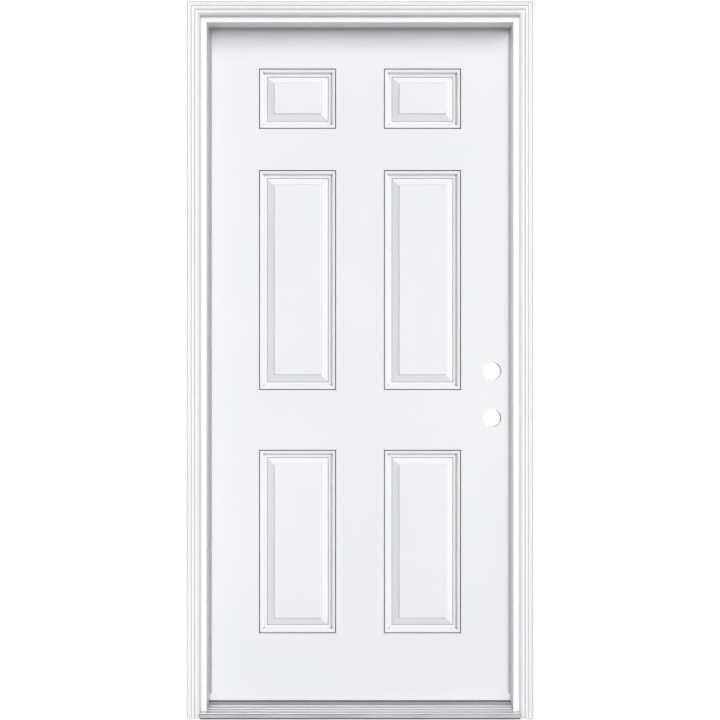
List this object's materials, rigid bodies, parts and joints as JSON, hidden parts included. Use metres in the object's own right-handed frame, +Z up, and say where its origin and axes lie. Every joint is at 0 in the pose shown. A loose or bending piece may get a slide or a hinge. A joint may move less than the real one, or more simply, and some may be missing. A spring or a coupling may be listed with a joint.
{
  "type": "panelled entry door with frame",
  "caption": "Prehung steel entry door: pressed panelled slab hinged in a rabbeted wood frame with brickmould casing, weatherstrip and aluminium sill, bored for a lock.",
  "frame": {"origin": "centre of the sill's underside, halfway through the depth of the jambs", "axes": "+Z up, +Y from outside to inside through the doorway, +X to the right as seen from outside, towards the lock side"},
  "size_m": [1.0124, 0.1593, 2.0903],
  "materials": {
    "primed_wood": "primed and painted white",
    "painted_steel": "factory white primer, satin",
    "bare_wood": "planed, unfinished",
    "foam": "rigid insulation foam",
    "weatherstrip": "vinyl-clad foam",
    "seal_dark": "matt vinyl and foam",
    "aluminium": "mill finish, extruded",
    "composite": "wood-filled composite",
    "cap": "matt moulded",
    "hinge_steel": "satin zinc plate",
    "screw_steel": "zinc plate"
  },
  "bodies": {
    "frame": {"hinge_jamb": "primed_wood", "strike_jamb": "primed_wood", "head_jamb": "primed_wood", "brickmould_hinge_side": "primed_wood", "brickmould_strike_side": "primed_wood", "brickmould_head": "primed_wood", "weatherstrip_hinge_side": "weatherstrip", "weatherstrip_strike_side": "weatherstrip", "weatherstrip_head": "weatherstrip", "corner_pads": "seal_dark", "sill_substrate": "composite", "sill_deck": "aluminium", "threshold_cap": "cap", "threshold_screws": "screw_steel", "sill_screws": "screw_steel", "head_screws": "screw_steel", "brickmould_nails": "screw_steel", "top_hinge_jamb_leaf": "hinge_steel", "top_hinge_pin": "hinge_steel", "middle_hinge_jamb_leaf": "hinge_steel", "middle_hinge_pin": "hinge_steel", "bottom_hinge_jamb_leaf": "hinge_steel", "bottom_hinge_pin": "hinge_steel", "jamb_hinge_screws": "screw_steel"},
    "door": {"exterior_skin": "painted_steel", "interior_skin": "painted_steel", "hinge_stile": "bare_wood", "lock_stile": "bare_wood", "lock_block": "bare_wood", "slab_top_rail": "bare_wood", "slab_bottom_rail": "bare_wood", "foam_core": "foam", "bottom_sweep": "seal_dark", "top_hinge_door_leaf": "hinge_steel", "middle_hinge_door_leaf": "hinge_steel", "bottom_hinge_door_leaf": "hinge_steel", "door_hinge_screws": "screw_steel"}
  },
  "joints": [
    {"name": "door_swing", "type": "hinge", "parent": "frame", "child": "door", "pos_m": [-0.45561, 0.06545, 1], "axis": [0, 0, 1], "range_deg": [0, 175]}
  ]
}
